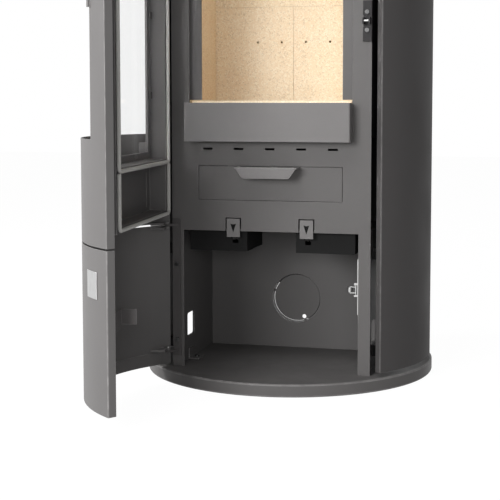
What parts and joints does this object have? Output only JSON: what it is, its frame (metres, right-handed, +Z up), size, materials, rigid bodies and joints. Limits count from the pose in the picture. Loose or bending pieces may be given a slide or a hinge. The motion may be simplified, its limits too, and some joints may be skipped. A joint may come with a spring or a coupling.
{
  "type": "wood-burning stove",
  "caption": "Round wood-burning stove on a plinth with curved doors standing open, brick-lined firebox, ash drawer, wood compartment and soapstone top.",
  "frame": {"origin": "middle of the round plinth's underside, on the floor", "axes": "+Z up, front with the doors towards -Y, the doors' hinge line on the -X side"},
  "size_m": [0.5399, 0.8318, 1.066],
  "materials": {
    "black_paint": "matt heat-proof paint, near black",
    "grey_paint": "matt heat-proof paint, dark warm grey",
    "bare_steel": "bare or zinc-plated steel, satin",
    "cast_grate": "cast iron, matt",
    "fire_brick": "pressed insulating brick, matt, flecked",
    "soapstone": "honed soapstone",
    "seal_rope": "braided heat-proof rope",
    "glass": "clear heat-proof glass"
  },
  "bodies": {
    "stove_body": {"base_plate": "black_paint", "floor_brackets": "black_paint", "left_inner_wall": "black_paint", "right_inner_wall": "black_paint", "rear_inner_wall": "black_paint", "ceiling_plate": "black_paint", "air_spigot": "bare_steel", "inlet_blank": "black_paint", "front_plate": "grey_paint", "ash_housing": "black_paint", "firebox_shell": "black_paint", "brick_left": "fire_brick", "brick_right": "fire_brick", "brick_back_left": "fire_brick", "brick_back_right": "fire_brick", "brick_back_upper": "fire_brick", "brick_front": "fire_brick", "brick_floor_left": "fire_brick", "brick_floor_right": "fire_brick", "brick_floor_mid": "fire_brick", "grate": "cast_grate", "baffle_brick": "fire_brick", "brick_keeper_left": "grey_paint", "brick_keeper_right": "grey_paint", "air_box_left": "black_paint", "air_box_right": "black_paint", "latch_keeper": "grey_paint", "keeper_pin": "bare_steel", "catch_strip": "bare_steel", "hinge_strip_lower": "black_paint", "hinge_strip_upper": "black_paint", "hinge_pins": "bare_steel", "side_panel_left": "grey_paint", "side_panel_right": "grey_paint", "rear_cover": "grey_paint", "panel_brackets": "black_paint", "top_plate": "grey_paint", "top_stone": "soapstone", "flue_collar": "black_paint", "body_screws": "bare_steel"},
    "upper_door": {"upper_door_skin": "grey_paint", "upper_door_frame": "grey_paint", "door_glass": "glass", "glass_clips": "bare_steel", "seal_upper": "seal_rope", "seal_lower": "seal_rope", "latch_guides": "black_paint"},
    "door_latch": {"latch_rod": "black_paint", "door_grip": "black_paint"},
    "lower_door": {"lower_door_skin": "grey_paint", "finger_pull": "bare_steel", "strike_plate": "grey_paint"},
    "drawer": {"ash_drawer": "grey_paint", "drawer_handle": "grey_paint"},
    "guard": {"log_guard": "grey_paint"},
    "tab_left": {"air_tab_left": "grey_paint"},
    "tab_right": {"air_tab_right": "grey_paint"},
    "catch_lever": {"catch_arm": "bare_steel"},
    "catch_wheel": {"catch_roller": "bare_steel"}
  },
  "joints": [
    {"name": "upper_door_hinge", "type": "hinge", "parent": "stove_body", "child": "upper_door", "pos_m": [-0.1865, -0.179, 0.5], "axis": [0, 0, -1], "range_deg": [-85, 10]},
    {"name": "lower_door_hinge", "type": "hinge", "parent": "stove_body", "child": "lower_door", "pos_m": [-0.1865, -0.179, 0.5], "axis": [0, 0, -1], "range_deg": [-85, 10]},
    {"name": "latch_slide", "type": "slide", "parent": "upper_door", "child": "door_latch", "axis": [0, 0, 1], "range_m": [-0.014, 0]},
    {"name": "drawer_slide", "type": "slide", "parent": "stove_body", "child": "drawer", "axis": [0, -1, 0], "range_m": [0, 0.17]},
    {"name": "guard_lift", "type": "slide", "parent": "stove_body", "child": "guard", "axis": [0, 0, 1], "range_m": [0, 0.06]},
    {"name": "tab_left_slide", "type": "slide", "parent": "stove_body", "child": "tab_left", "axis": [0, 0, -1], "range_m": [0, 0.012]},
    {"name": "tab_right_slide", "type": "slide", "parent": "stove_body", "child": "tab_right", "axis": [0, 0, -1], "range_m": [0, 0.012]},
    {"name": "catch_lever_hinge", "type": "hinge", "parent": "stove_body", "child": "catch_lever", "pos_m": [0.154, -0.152, 0.173], "axis": [0, 0, 1], "range_deg": [-12, 12], "stiffness_Nm_per_rad": 0.05},
    {"name": "catch_wheel_spin", "type": "hinge", "parent": "catch_lever", "child": "catch_wheel", "pos_m": [0.143, -0.152, 0.173], "axis": [0, 0, 1], "continuous": true}
  ]
}
